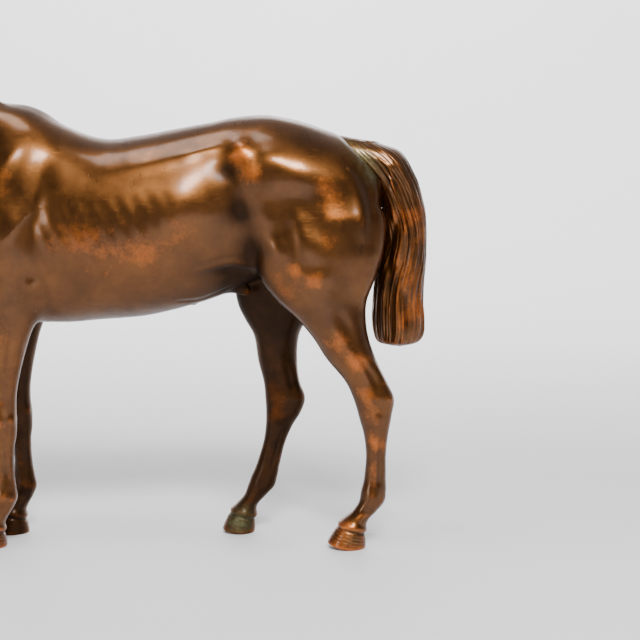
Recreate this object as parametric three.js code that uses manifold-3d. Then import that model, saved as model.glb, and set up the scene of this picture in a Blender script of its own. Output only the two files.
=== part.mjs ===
// A standing bronze horse, as a sectional sand casting: a hollow trunk and neck, solid head, legs and tail,
// joined by sleeve joints with cross pins, and the holes of the core pins closed by round plugs.
// Millimetres, +Z up. The horse faces -X, its left side is -Y, and its soles stand on z = 0.
import * as THREE from 'three';
import { LoftGeometry } from 'three/addons/geometries/LoftGeometry.js';
import { mergeVertices } from 'three/addons/utils/BufferGeometryUtils.js';
import Module from 'manifold-3d';

const WALL = 3.2; // of the hollow castings
const GAP = 0.3; // between neighbouring castings, and round each pin and plug
const PIN_RADIUS = 1.2;
const PLUG_RADIUS = 2;
const TENON_RADIUS = 4.2; // of a leg's tenon
const TENON_LENGTH = 11;
const SLEEVE_LENGTH = 7; // how far the neck's sleeve enters the trunk
const HIND_CUT_Z = 97; // where the hind legs leave the trunk
const FORE_CUT_Z = 97; // where the forelegs leave it
const NECK_CUT = 12; // along the neck, where it leaves the trunk
const FAR = 400; // longer than the horse

const bronze = new THREE.MeshStandardMaterial({ color: 0x6b3d1c, roughness: 0.32, metalness: 1 });
const pinBronze = new THREE.MeshStandardMaterial({ color: 0x74451f, roughness: 0.4, metalness: 1 });

const wasm = await Module();
wasm.setup();

// ---- outlines ----
// Each station is [along, low, high, half width, widest, side]: where it lies along the loft's axis, the outline's
// two edges across it, half its thickness, the place of the widest line and the offset to the side.

const TRUNK = [ // along x, edges in z: belly and back
  [-66, 131, 149, 6, 140],
  [-62, 121, 158, 13, 140],
  [-52, 108, 171, 19, 140],
  [-38, 100, 184, 22.5, 139],
  [-25, 97.6, 188, 25, 138],
  [-10, 97.6, 182.5, 27, 137],
  [7, 99.2, 177.8, 28, 138],
  [21, 100.2, 179.1, 28, 140],
  [35, 102.8, 181.6, 26.8, 143],
  [50, 106.8, 184.3, 24.6, 148],
  [63, 112, 186.8, 23.4, 154],
  [77, 119, 187.3, 23.6, 158],
  [91, 124, 184.7, 23.8, 158],
  [105, 129, 180.4, 22, 156],
  [117, 134, 176.5, 17.5, 155],
  [125, 141, 170, 10.5, 155],
  [127.5, 149, 162, 4, 155],
];

const LEFT_HIND = [ // along z, edges in x: front and back
  [0, 102.4, 119.4, 7.4, 111, -15.4],
  [1.4, 102.6, 120, 7.4, 111, -15.4],
  [9, 107, 119.8, 6, 113, -15.3],
  [13, 110.2, 121.6, 5.2, 116, -15.2],
  [16.5, 114.4, 124.9, 4.5, 119.5, -15],
  [20.5, 117, 128, 4.8, 122, -15],
  [25, 117.8, 128.8, 4.8, 123, -15],
  [31, 119.2, 128.7, 4.1, 124, -15],
  [41, 120, 128.7, 4, 124.5, -15],
  [50, 119, 129.6, 4.6, 124, -15],
  [58, 116.7, 131, 5.9, 123, -15],
  [65.8, 114.3, 132, 6.3, 122, -15],
  [73, 111, 128.9, 6.2, 119.5, -15.2],
  [83, 102.8, 124.2, 7.6, 114, -15.4],
  [92, 97, 121, 8.8, 109, -15.4],
  [100, 90.3, 119.8, 10, 105, -15],
  [108, 81.6, 120.2, 11, 101, -14.6],
  [118, 74.2, 123.8, 12, 98, -14],
  [130, 70.8, 126.8, 12.6, 97, -13.4],
  [148, 68.6, 127.2, 12.4, 97, -12.6],
  [160, 67, 123, 11.4, 95, -12.4],
  [170, 68, 114, 9, 92, -12.4],
];

const RIGHT_HIND = [
  [0, 55.4, 69.8, 7.2, 63, 14.4],
  [1.4, 55.6, 70.4, 7.2, 63, 14.4],
  [9, 59, 70.9, 5.9, 65, 14.3],
  [13, 62, 72, 5.1, 67, 14.2],
  [17, 65.6, 75.6, 4.5, 70.4, 14],
  [21, 67.2, 79.2, 4.8, 73, 14],
  [25.5, 68.9, 80.6, 4.8, 74.6, 14],
  [31, 71.3, 81.7, 4.1, 76.5, 14],
  [41, 74.3, 84.2, 4, 79, 14],
  [49, 75.5, 87.6, 4.7, 81, 14],
  [55, 75.7, 91.2, 5.9, 83, 14],
  [61.4, 75.3, 93.3, 6.3, 83.5, 14],
  [69, 74.6, 91, 6.2, 82, 14],
  [79, 72.1, 89.8, 7.4, 80, 14.2],
  [90, 70.3, 90.6, 8.8, 80, 14.4],
  [97, 68, 94, 9.6, 81, 14.2],
  [104, 65, 99, 10.6, 83, 14],
  [115, 62.6, 108, 11.6, 87, 13.6],
  [130, 62.6, 118, 12.6, 92, 13.2],
  [148, 64, 124, 12.4, 95, 12.6],
  [160, 65.6, 122, 11.4, 95, 12.4],
  [170, 68, 114, 9, 92, 12.4],
];

const FORELEG = [ // the left one, its knee straight above its heel
  [0, -55, -37.6, 7.6, -46, -13],
  [1.4, -54.8, -37, 7.6, -46, -13],
  [9.4, -50.4, -38, 6.1, -44, -13],
  [13, -47.6, -36.6, 5.2, -42, -13],
  [17, -44.4, -34.2, 4.5, -39.4, -13],
  [21.5, -43.2, -32.2, 5, -37.8, -13],
  [26, -42.4, -32.6, 4.6, -37.6, -13],
  [34, -41.4, -33.4, 3.9, -37.4, -13],
  [43, -41.8, -33.2, 4.2, -37.6, -13],
  [49, -43.8, -32.2, 5.4, -38, -13],
  [55, -44.8, -31.8, 6.1, -38.6, -13],
  [61, -43.8, -32, 5.7, -38, -13],
  [68, -43, -31.6, 5.4, -37.4, -13],
  [78, -43.8, -29.6, 6.4, -37, -13],
  [90, -45.6, -26.2, 7.8, -36.4, -13.2],
  [101, -48.2, -22.4, 9.2, -36, -13.2],
  [111, -53, -19.6, 10.4, -37, -13],
  [124, -60.4, -19.6, 11.4, -39, -12.6],
  [138, -65, -20.4, 11.4, -41, -12],
  [152, -60, -19, 10.4, -38, -11],
  [166, -48, -17, 8, -32, -9.6],
  [178, -38, -20, 5, -29, -8],
];
const RIGHT_FORE_STEP = 5; // how far the right fore stands behind the left
const FORE_STEP_ENDS_Z = 95; // above it both forelegs agree

const TAIL = [ // along z, edges in x: the side at the rump and the back
  [87, 130, 138.6, 5.2, 135],
  [88.4, 125.8, 142.9, 8, 134],
  [92, 123.8, 145.7, 9.4, 134],
  [99, 122.9, 146.2, 9.8, 134],
  [106, 123.2, 145.8, 9.6, 134],
  [114, 123.9, 145.9, 9.4, 135],
  [124, 125.6, 146.6, 9, 137],
  [134, 127.4, 146.9, 8.8, 138],
  [145, 127.4, 146.3, 9, 137],
  [157, 124.6, 143.6, 9.2, 135],
  [164.5, 121, 140.2, 9, 131],
  [169, 117.4, 136.4, 8, 127],
  [172.5, 114.6, 131.6, 6.4, 122],
  [175.4, 112.6, 124.6, 3.6, 118],
];

const NECK = [ // along the neck's own axis, edges across it: throat and crest
  [-22, -32, 30, 17, -2],
  [-9, -30, 29.5, 17, -2],
  [8, -23.5, 26.4, 15.4, -1],
  [22, -19.5, 20.6, 13, -1],
  [38, -16.5, 19.2, 11, -1],
  [54, -14, 18.6, 10, 0],
  [66, -11.6, 17, 9.6, 1],
  [78, -10.2, 13.8, 9, 1],
  [88, -9.6, 8.6, 8.2, -1],
  [96, -8.4, 0.8, 5.4, -4],
];
const NECK_ROOT = new THREE.Vector3(-46, 0, 166);
const NECK_RISE = THREE.MathUtils.degToRad(52); // above the horizontal

const HEAD = [ // from the poll to the lips, edges across: jaw and face
  [-5, -9, 1, 4, -4],
  [-2, -15, 4.4, 7.4, -4],
  [6, -24, 7.6, 9.8, -4],
  [15, -28.6, 8.8, 10.6, -3],
  [24, -28.4, 8.6, 10.8, -2],
  [32, -24, 7.2, 9.4, -3],
  [42, -17, 5.4, 7.4, -4],
  [53, -12.4, 4, 6.2, -4],
  [62, -11.4, 3.6, 6.2, -4],
  [69, -11.4, 2.2, 6.4, -4.6],
  [73, -9.6, -0.8, 5.2, -5],
  [74.4, -7.6, -3, 3, -5.2],
];
const HEAD_ROOT = new THREE.Vector3(-108.5, 0, 237);
const HEAD_DROP = THREE.MathUtils.degToRad(58); // below the horizontal

const HEAD_CUT_MIDDLE = new THREE.Vector3(-85, 0, 216.6); // of the cut between neck and head, behind the jaw
const HEAD_CUT_LEAN = THREE.MathUtils.degToRad(16.4); // of that cut from the vertical

const EAR_LENGTH = 15;
const EAR_RADIUS = 3.4;
const EAR_BASE = new THREE.Vector3(-110.8, 5.2, 236.5); // of the right ear

const TAIL_ROOT = new THREE.Vector3(111.5, 0, 164.2); // where its pin crosses its tenon
const TAIL_TENON_RADIUS = 4;
const TAIL_TENON_SLOPE = -0.08; // dz / dx, towards the back
const RUMP_HALF = 19.6; // half the rump's thickness at the tail's pin

// ---- lofts ----

// The stations' columns at one place along the axis, through each station, by Catmull-Rom tangents.
function stationAt(stations, along) {
  const last = stations.length - 1;
  let i = 0;
  while (i < last - 1 && along > stations[i + 1][0]) i += 1;
  const tangent = (k, column) => {
    const before = stations[Math.max(k - 1, 0)];
    const after = stations[Math.min(k + 1, last)];
    return (after[column] - before[column]) / (after[0] - before[0]);
  };
  const [from, to] = [stations[i], stations[i + 1]];
  const span = to[0] - from[0];
  const t = (along - from[0]) / span;
  return from.map((value, column) => {
    if (column === 0) return along;
    const bend = (1 - t) ** 2 * t * span * tangent(i, column) - t ** 2 * (1 - t) * span * tangent(i + 1, column);
    return value * (1 + 2 * t) * (1 - t) ** 2 + to[column] * t ** 2 * (3 - 2 * t) + bend;
  });
}

// A closed loft through the stations from one place along the axis to another, shrunk by inset on all sides.
// place turns (along, across, side) into a point.
function loft(stations, place, { from = stations[0][0], to = stations.at(-1)[0], step, sides, inset = 0 }) {
  const count = Math.max(2, Math.round((to - from) / step));
  const sections = [];
  for (let k = 0; k <= count; k += 1) {
    const [along, low, high, half, widest, side = 0] = stationAt(stations, from + ((to - from) * k) / count);
    const ring = [];
    for (let j = 0; j < sides; j += 1) {
      const angle = (2 * Math.PI * (j + 0.5)) / sides;
      const reach = Math.cos(angle) > 0 ? high - widest : widest - low;
      const across = widest + Math.max(reach - inset, 0.5) * Math.cos(angle);
      ring.push(place(along, across, side + Math.max(half - inset, 0.5) * Math.sin(angle)));
    }
    sections.push(ring);
  }
  return solid(new LoftGeometry(sections, { capStart: true, capEnd: true }));
}

const alongX = (along, across, side) => new THREE.Vector3(along, -side, across); // so that rings wind as alongZ's do
const alongZ = (along, across, side) => new THREE.Vector3(across, side, along);
const alongNeck = (along, across, side) => NECK_ROOT.clone().add(new THREE.Vector3(
  -along * Math.cos(NECK_RISE) + across * Math.sin(NECK_RISE),
  side,
  along * Math.sin(NECK_RISE) + across * Math.cos(NECK_RISE),
));
const alongHead = (along, across, side) => HEAD_ROOT.clone().add(new THREE.Vector3(
  -along * Math.cos(HEAD_DROP) - across * Math.sin(HEAD_DROP),
  side,
  -along * Math.sin(HEAD_DROP) + across * Math.cos(HEAD_DROP),
));

// ---- solids ----

function solid(geometry) {
  const bare = geometry.index ? geometry.toNonIndexed() : geometry.clone();
  for (const name of ['normal', 'uv']) bare.deleteAttribute(name);
  const merged = mergeVertices(bare, 1e-4);
  const mesh = { numProp: 3, vertProperties: merged.attributes.position.array, triVerts: merged.index.array };
  mesh.triVerts = new Uint32Array(mesh.triVerts);
  return new wasm.Manifold(new wasm.Mesh(mesh));
}

const join = (...solids) => solids.reduce((all, next) => all.add(next));
const cutAll = (body, cuts) => cuts.reduce((rest, cut) => rest.subtract(cut), body);

// A round bar between two points.
function bar(start, end, radius, sides = 12, endRadius = radius) {
  const direction = end.clone().sub(start);
  const geometry = new THREE.CylinderGeometry(endRadius, radius, direction.length(), sides);
  const turn = new THREE.Quaternion().setFromUnitVectors(new THREE.Vector3(0, 1, 0), direction.normalize());
  geometry.applyQuaternion(turn).translate(...start.clone().add(end).multiplyScalar(0.5));
  return solid(geometry);
}

const point = (x, y, z) => new THREE.Vector3(x, y, z);
const barAcross = (x, z, fromY, toY, radius) => bar(point(x, fromY, z), point(x, toY, z), radius);

// Everything beyond a place along the neck, as a big block.
function beyondOnNeck(along) {
  const block = new THREE.BoxGeometry(FAR, FAR, FAR).translate(0, 0, FAR / 2);
  return solid(block.rotateY(NECK_RISE - Math.PI / 2).translate(...alongNeck(along, 0, 0)));
}

// A place on the line that crosses the head's cut squarely, ahead of the cut, and everything ahead of that place.
function aheadOfHeadCut(distance) {
  const ahead = new THREE.Vector3(-Math.cos(HEAD_CUT_LEAN), 0, Math.sin(HEAD_CUT_LEAN));
  return HEAD_CUT_MIDDLE.clone().addScaledVector(ahead, distance);
}
function headSide(distance) {
  const block = new THREE.BoxGeometry(FAR, FAR, FAR).translate(-FAR / 2, 0, 0);
  return solid(block.rotateY(HEAD_CUT_LEAN).translate(...aheadOfHeadCut(distance)));
}

// ---- castings ----

const shiftedBack = FORELEG.map(([z, front, back, half, widest, side]) => {
  const back1 = RIGHT_FORE_STEP * Math.max(0, 1 - z / FORE_STEP_ENDS_Z);
  return [z, front + back1, back + back1, half, widest + back1, -side];
});
const LEGS = {
  left_hind_leg: { outline: LEFT_HIND, cut: HIND_CUT_Z },
  right_hind_leg: { outline: RIGHT_HIND, cut: HIND_CUT_Z },
  left_foreleg: { outline: FORELEG, cut: FORE_CUT_Z },
  right_foreleg: { outline: shiftedBack, cut: FORE_CUT_Z },
};
const LEG_STEP = 4.4;
const LEG_SIDES = 12;
const PIN_HOLE_OVERRUN = 4; // so that a hole passes the skin it is drilled through
const PIN_DEPTH = 0.7; // of the ends of pins and plugs below the skin

// Where a leg's tenon stands, on the leg's own line at the cut.
function tenonFoot({ outline, cut }) {
  const [, front, back, , , side] = stationAt(outline, cut);
  return point((front + back) / 2, side, cut);
}
const raised = (p, by) => p.clone().setZ(p.z + by);

// A tenon's foot is a little wider than its head.
function legTenon(leg, sunk, rise, grown) {
  const foot = tenonFoot(leg);
  return bar(raised(foot, -sunk), raised(foot, rise), TENON_RADIUS + 0.4 + grown, 14, TENON_RADIUS + grown);
}

// The pin that locks a leg's tenon runs across the trunk's stub.
function legPin(leg, radius, overrun) {
  const z = leg.cut + TENON_LENGTH / 2;
  const [, , , half, , side] = stationAt(leg.outline, z);
  return barAcross(tenonFoot(leg).x, z, side - half - overrun, side + half + overrun, radius);
}
const legPinHole = (leg) => legPin(leg, PIN_RADIUS + GAP, PIN_HOLE_OVERRUN);

function legCasting(leg) {
  const limb = loft(leg.outline, alongZ, { to: leg.cut - GAP, step: LEG_STEP, sides: LEG_SIDES });
  return limb.add(legTenon(leg, 3, TENON_LENGTH - GAP, 0)).subtract(legPinHole(leg));
}

// The trunk carries the neck's root, the legs' stubs and a boss for the tail, and is open towards the neck.
function trunkCasting() {
  const barrel = loft(TRUNK, alongX, { step: 7.5, sides: 22 });
  const neckRoot = loft(NECK, alongNeck, { to: 36, step: 9, sides: 18 }).subtract(beyondOnNeck(NECK_CUT));
  const legs = Object.values(LEGS);
  const stubs = legs.map(({ outline, cut }) => loft(outline, alongZ, { from: cut, step: 8, sides: 16 }));
  const hollow = loft(TRUNK, alongX, { from: -56, to: 108, step: 14, sides: 14, inset: WALL })
    .add(loft(NECK, alongNeck, { from: -18, to: NECK_CUT + 2, step: 9, sides: 14, inset: WALL }));
  const cuts = [
    ...legs.map((leg) => legTenon(leg, 1, TENON_LENGTH, GAP)),
    ...legs.map(legPinHole),
    tailBody(GAP),
    tailTenon(GAP),
    tailPinHole(),
    ...[-1, 1].map(neckPinHole),
    ...Object.entries(PLUGS).filter(([name]) => !name.includes('neck')).map(([, place]) => plugHole(place)),
  ];
  return cutAll(join(barrel, neckRoot, ...stubs).subtract(hollow).add(tailBoss()), cuts);
}

// The neck is hollow, and its sleeve enters the trunk's mouth.
function neckCasting() {
  const outer = loft(NECK, alongNeck, { from: 0, step: 6.5, sides: 18 });
  const sleeve = loft(NECK, alongNeck, {
    from: NECK_CUT - SLEEVE_LENGTH, to: NECK_CUT + 6, step: 6.5, sides: 14, inset: WALL + GAP + 0.4,
  });
  const bore = loft(NECK, alongNeck, {
    from: NECK_CUT - SLEEVE_LENGTH - 2, to: NECK_BORE_END, step: 10, sides: 14, inset: 2 * WALL,
  });
  return cutAll(outer.intersect(beyondOnNeck(NECK_CUT + GAP)).add(sleeve), [
    bore,
    headSide(-GAP),
    headTenon(GAP),
    ...[-1, 1].map(neckPinHole),
    plugHole(PLUGS.left_neck_core_plug),
    plugHole(PLUGS.right_neck_core_plug),
    headPinHole(),
  ]);
}
const NECK_BORE_END = 50; // along the neck
const NECK_SKIN = 15.6; // half the neck's thickness at its pins
function neckPin(side, radius, overrun) {
  const middle = alongNeck(NECK_CUT - SLEEVE_LENGTH / 2, 2, 0);
  return barAcross(middle.x, middle.z, side * (NECK_SKIN - 2 * WALL - 1), side * (NECK_SKIN + overrun), radius);
}
const neckPinHole = (side) => neckPin(side, PIN_RADIUS + GAP, PIN_HOLE_OVERRUN);

// The ears are cones, flattened, leaning forwards and a little out.
function ear(side) {
  const cone = new THREE.ConeGeometry(EAR_RADIUS, EAR_LENGTH, 12, 3);
  cone.rotateX(Math.PI / 2).scale(0.72, 1, 1).rotateY(-0.16).rotateX(-side * 0.14);
  const base = EAR_BASE.clone().setY(side * EAR_BASE.y);
  return solid(cone.translate(base.x, base.y, base.z + EAR_LENGTH / 2));
}

// The head, with the piece of neck ahead of its cut, and its tenon.
const headTenon = (grown) => bar(aheadOfHeadCut(-9 - grown), aheadOfHeadCut(4), 4.6 + grown);
function headCasting() {
  const skull = loft(HEAD, alongHead, { step: 5.5, sides: 16 });
  const root = loft(NECK, alongNeck, { from: 44, step: 6, sides: 14 });
  const head = join(skull, root, ear(-1), ear(1)).intersect(headSide(0));
  return head.add(headTenon(0)).subtract(headPinHole());
}
const POLL_HALF = 9.5; // half the neck's thickness at the head's pin
function headPin(radius, overrun) {
  const middle = aheadOfHeadCut(-4.5);
  return barAcross(middle.x, middle.z, -POLL_HALF - overrun, POLL_HALF + overrun, radius);
}
const headPinHole = () => headPin(PIN_RADIUS + GAP, PIN_HOLE_OVERRUN);

// A round tenon on the tail's root, locked by a pin across the rump.
const onTailTenon = (dx) => TAIL_ROOT.clone().add(point(dx, 0, dx * TAIL_TENON_SLOPE));
const tailTenon = (grown) => bar(onTailTenon(-5.5 - grown), onTailTenon(14.5), TAIL_TENON_RADIUS + grown);
const tailBoss = () => bar(onTailTenon(-8), onTailTenon(9.5), TAIL_TENON_RADIUS + WALL);
const tailBody = (grown) => loft(TAIL, alongZ, { to: TAIL.at(-1)[0] + grown, step: 4.6, sides: 16, inset: -grown });
const tailPin = (radius, overrun) => (
  barAcross(TAIL_ROOT.x, TAIL_ROOT.z, -RUMP_HALF - overrun, RUMP_HALF + overrun, radius)
);
const tailPinHole = () => tailPin(PIN_RADIUS + GAP, PIN_HOLE_OVERRUN);
const tailCasting = () => tailBody(0).add(tailTenon(0)).subtract(tailPinHole());

// ---- core plugs ----

// Where a core pin passed the wall: a point on the skin and the direction straight out of it.
const onBack = (x) => [point(x, 0, stationAt(TRUNK, x)[2]), point(0, 0, 1)];
const onBelly = (x) => [point(x, 0, stationAt(TRUNK, x)[1]), point(0, 0, -1)];
const onFlank = (x, side) => {
  const [, , , half, widest] = stationAt(TRUNK, x);
  return [point(x, side * half, widest), point(0, side, 0)];
};
const onNeckSide = (along, side) => {
  const [, , , half, widest] = stationAt(NECK, along);
  return [alongNeck(along, widest, side * half), point(0, side, 0)];
};
const PLUGS = {
  back_core_plug: onBack(21),
  belly_core_plug_front: onBelly(-10),
  belly_core_plug_rear: onBelly(35),
  chest_core_plug: [point(TRUNK[0][0], 0, TRUNK[0][4]), point(-1, 0, 0)],
  left_flank_core_plug: onFlank(14, -1),
  right_flank_core_plug: onFlank(14, 1),
  left_neck_core_plug: onNeckSide(40, -1),
  right_neck_core_plug: onNeckSide(40, 1),
};
function plug([skin, out], radius, inner, outer) {
  return bar(skin.clone().addScaledVector(out, -inner), skin.clone().addScaledVector(out, outer), radius, 14);
}
const plugHole = (place) => plug(place, PLUG_RADIUS + GAP, WALL + 3, 4);

// ---- the horse ----

const horse = new THREE.Group();

function add(name, body, material = bronze) {
  const [whole] = body.decompose().sort((a, b) => b.volume() - a.volume()); // without the crumbs of its cuts
  const { numProp, numVert, vertProperties, triVerts } = whole.getMesh();
  const positions = new Float32Array(numVert * 3);
  for (let i = 0; i < numVert; i += 1) positions.set(vertProperties.subarray(i * numProp, i * numProp + 3), i * 3);
  const geometry = new THREE.BufferGeometry();
  geometry.setAttribute('position', new THREE.BufferAttribute(positions, 3));
  geometry.setIndex(new THREE.BufferAttribute(triVerts, 1));
  geometry.computeVertexNormals();
  const mesh = new THREE.Mesh(geometry, material);
  mesh.name = name;
  horse.add(mesh);
}

add('trunk_casting', trunkCasting());
add('neck_casting', neckCasting());
add('head_casting', headCasting());
add('tail_casting', tailCasting());
for (const [name, leg] of Object.entries(LEGS)) {
  add(name, legCasting(leg));
  add(`${name}_pin`, legPin(leg, PIN_RADIUS, -PIN_DEPTH), pinBronze);
}
add('left_neck_pin', neckPin(-1, PIN_RADIUS, -PIN_DEPTH), pinBronze);
add('right_neck_pin', neckPin(1, PIN_RADIUS, -PIN_DEPTH), pinBronze);
add('head_pin', headPin(PIN_RADIUS, -PIN_DEPTH), pinBronze);
add('tail_pin', tailPin(PIN_RADIUS, -PIN_DEPTH), pinBronze);
for (const [name, place] of Object.entries(PLUGS)) {
  add(name, plug(place, PLUG_RADIUS, WALL - GAP, -PIN_DEPTH), pinBronze);
}

export default horse;
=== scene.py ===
"""A standing bronze horse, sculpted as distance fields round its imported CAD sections.

Each casting is one closed mesh of the same body field, cut where the CAD sections meet, so that the skin
runs on across the joints. The sculpting is in millimetres, and the meshes are made in metres. The horse faces
-X, its left side is -Y, and its soles stand on z = 0.
"""
import math
from concurrent.futures import ThreadPoolExecutor

import bmesh
import bpy
import numpy as np
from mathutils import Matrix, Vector


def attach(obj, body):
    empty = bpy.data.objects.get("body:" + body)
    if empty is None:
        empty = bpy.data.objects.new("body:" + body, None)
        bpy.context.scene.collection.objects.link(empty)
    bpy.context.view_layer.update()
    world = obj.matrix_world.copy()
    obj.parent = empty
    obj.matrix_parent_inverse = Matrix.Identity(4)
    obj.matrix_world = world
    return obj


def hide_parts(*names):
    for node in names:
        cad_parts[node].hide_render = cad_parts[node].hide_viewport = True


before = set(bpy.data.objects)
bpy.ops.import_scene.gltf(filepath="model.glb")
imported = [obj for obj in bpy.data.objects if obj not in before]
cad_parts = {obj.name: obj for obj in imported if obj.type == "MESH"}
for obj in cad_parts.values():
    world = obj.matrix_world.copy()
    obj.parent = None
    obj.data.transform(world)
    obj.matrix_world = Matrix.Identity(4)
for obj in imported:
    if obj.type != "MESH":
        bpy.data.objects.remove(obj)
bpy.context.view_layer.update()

MM = 0.001
LEFT, RIGHT = -1, 1  # the sign of y on each side

# ---- where the sections part, as in the CAD ----

LEG_CUT_Z = 97.0
NECK_CUT = 12.0  # along the neck
HEAD_CUT_MIDDLE = (-85.0, 0.0, 216.6)
HEAD_CUT_LEAN = math.radians(16.4)

# ---- outlines: [along, low, high, half width, widest, side] ----

TRUNK = [  # along x, edges in z: belly and back
    [-66, 131, 149, 6, 140],
    [-62, 121, 158, 13, 140],
    [-52, 108, 171, 19, 140],
    [-38, 100, 184, 22.5, 139],
    [-25, 97.6, 188, 25, 138],
    [-10, 97.6, 182.5, 27, 137],
    [7, 99.2, 177.8, 28, 138],
    [21, 100.2, 179.1, 28, 140],
    [35, 102.8, 181.6, 26.8, 143],
    [50, 106.8, 184.3, 24.6, 148],
    [63, 112, 186.8, 23.4, 154],
    [77, 119, 187.3, 23.6, 158],
    [91, 124, 184.7, 23.8, 158],
    [105, 129, 180.4, 22, 156],
    [117, 134, 176.5, 17.5, 155],
    [125, 141, 170, 10.5, 155],
    [127.5, 149, 162, 4, 155],
]

LEFT_HIND = [  # along z, edges in x: front and back
    [-2, 102.4, 119.4, 7.4, 111, -15.4],
    [1.4, 102.6, 120, 7.4, 111, -15.4],
    [9, 107, 119.8, 6, 113, -15.3],
    [13, 110.2, 121.6, 5.2, 116, -15.2],
    [16.5, 114.4, 124.9, 4.5, 119.5, -15],
    [20.5, 117, 128, 4.8, 122, -15],
    [25, 117.8, 128.8, 4.8, 123, -15],
    [31, 119.2, 128.7, 4.1, 124, -15],
    [41, 120, 128.7, 4, 124.5, -15],
    [50, 119, 129.6, 4.6, 124, -15],
    [58, 116.7, 131, 5.9, 123, -15],
    [65.8, 114.3, 132, 6.3, 122, -15],
    [73, 111, 128.9, 6.2, 119.5, -15.2],
    [83, 102.8, 124.2, 7.6, 114, -15.4],
    [92, 97, 121, 8.8, 109, -15.4],
    [100, 90.3, 119.8, 10, 105, -15],
    [108, 81.6, 120.2, 11, 101, -14.6],
    [118, 74.2, 123.8, 12, 98, -14],
    [130, 70.8, 126.8, 12.6, 97, -13.4],
    [148, 68.6, 127.2, 12.4, 97, -12.6],
    [160, 67, 123, 11.4, 95, -12.4],
    [170, 68, 114, 9, 92, -12.4],
]

RIGHT_HIND = [
    [-2, 55.4, 69.8, 7.2, 63, 14.4],
    [1.4, 55.6, 70.4, 7.2, 63, 14.4],
    [9, 59, 70.9, 5.9, 65, 14.3],
    [13, 62, 72, 5.1, 67, 14.2],
    [17, 65.6, 75.6, 4.5, 70.4, 14],
    [21, 67.2, 79.2, 4.8, 73, 14],
    [25.5, 68.9, 80.6, 4.8, 74.6, 14],
    [31, 71.3, 81.7, 4.1, 76.5, 14],
    [41, 74.3, 84.2, 4, 79, 14],
    [49, 75.5, 87.6, 4.7, 81, 14],
    [55, 75.7, 91.2, 5.9, 83, 14],
    [61.4, 75.3, 93.3, 6.3, 83.5, 14],
    [69, 74.6, 91, 6.2, 82, 14],
    [79, 72.1, 89.8, 7.4, 80, 14.2],
    [90, 70.3, 90.6, 8.8, 80, 14.4],
    [97, 66.4, 94, 9.6, 80.5, 14.2],
    [104, 63.2, 99, 10.6, 82, 14],
    [115, 61.6, 108, 11.6, 86.5, 13.6],
    [130, 62.6, 118, 12.6, 92, 13.2],
    [148, 64, 124, 12.4, 95, 12.6],
    [160, 65.6, 122, 11.4, 95, 12.4],
    [170, 68, 114, 9, 92, 12.4],
]

LEFT_FORE = [
    [-2, -55, -37.6, 7.6, -46, -13],
    [1.4, -54.8, -37, 7.6, -46, -13],
    [9.4, -50.4, -38, 6.1, -44, -13],
    [13, -47.6, -36.6, 5.2, -42, -13],
    [17, -44.4, -34.2, 4.5, -39.4, -13],
    [21.5, -43.2, -32.2, 5, -37.8, -13],
    [26, -42.4, -32.6, 4.6, -37.6, -13],
    [34, -41.4, -33.4, 3.9, -37.4, -13],
    [43, -41.8, -33.2, 4.2, -37.6, -13],
    [49, -43.8, -32.2, 5.4, -38, -13],
    [55, -44.8, -31.8, 6.1, -38.6, -13],
    [61, -43.8, -32, 5.7, -38, -13],
    [68, -43, -31.6, 5.4, -37.4, -13],
    [78, -43.8, -29.6, 6.4, -37, -13],
    [90, -45.6, -26.2, 7.8, -36.4, -13.2],
    [101, -48.2, -22.4, 9.2, -36, -13.2],
    [111, -53, -19.6, 10.4, -37, -13],
    [124, -60.4, -19.6, 11.4, -39, -12.6],
    [138, -65, -20.4, 11.4, -41, -12],
    [152, -60, -19, 10.4, -38, -11],
    [166, -48, -17, 8, -32, -9.6],
    [178, -38, -20, 5, -29, -8],
]
RIGHT_FORE_STEP = 5.0  # how far the right fore stands behind the left
FORE_STEP_ENDS_Z = 95.0

TAIL = [  # along z, edges in x: the side at the rump and the back
    [87, 130, 138.6, 5.2, 135],
    [88.4, 125.8, 142.9, 8, 134],
    [92, 123.8, 145.7, 9.4, 134],
    [99, 122.9, 146.2, 9.8, 134],
    [106, 123.2, 145.8, 9.6, 134],
    [114, 123.9, 145.9, 9.4, 135],
    [124, 125.6, 146.6, 9, 137],
    [134, 127.4, 146.9, 8.8, 138],
    [145, 127.4, 146.3, 9, 137],
    [157, 124.6, 143.6, 9.2, 135],
    [164.5, 121, 140.2, 9, 131],
    [169, 117.4, 136.4, 8, 127],
    [172.5, 114.6, 131.6, 6.4, 122],
    [175.4, 112.6, 124.6, 3.6, 118],
]

NECK = [  # along the neck's own axis, edges across it: throat and crest
    [-22, -32, 30, 17, -2],
    [-9, -30, 29.5, 17, -2],
    [8, -23.5, 26.4, 15.4, -1],
    [22, -19.5, 20.6, 13, -1],
    [38, -16.5, 19.2, 11, -1],
    [54, -14, 18.6, 10, 0],
    [66, -11.6, 17, 9.6, 1],
    [78, -10.2, 13.8, 9, 1],
    [88, -9.6, 8.6, 8.2, -1],
    [96, -8.4, 0.8, 5.4, -4],
]
NECK_ROOT = (-46.0, 0.0, 166.0)
NECK_RISE = math.radians(52)

HEAD = [  # from the poll to the lips, edges across: jaw and face
    [-5, -9, 1, 4, -4],
    [-2, -15, 4.4, 7.4, -4],
    [6, -24, 7.6, 9.8, -4],
    [15, -28.6, 8.8, 10.6, -3],
    [24, -28.4, 8.6, 10.8, -2],
    [32, -24, 7.2, 9.4, -3],
    [42, -17, 5.4, 7.4, -4],
    [53, -12.4, 4, 6.2, -4],
    [62, -11.4, 3.6, 6.2, -4],
    [69, -11.4, 2.2, 6.4, -4.6],
    [73, -9.6, -0.8, 5.2, -5],
    [74.4, -7.6, -3, 3, -5.2],
]
HEAD_ROOT = (-108.5, 0.0, 237.0)
HEAD_DROP = math.radians(58)


# ---- fields: signed distances in mm, negative inside ----

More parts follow.
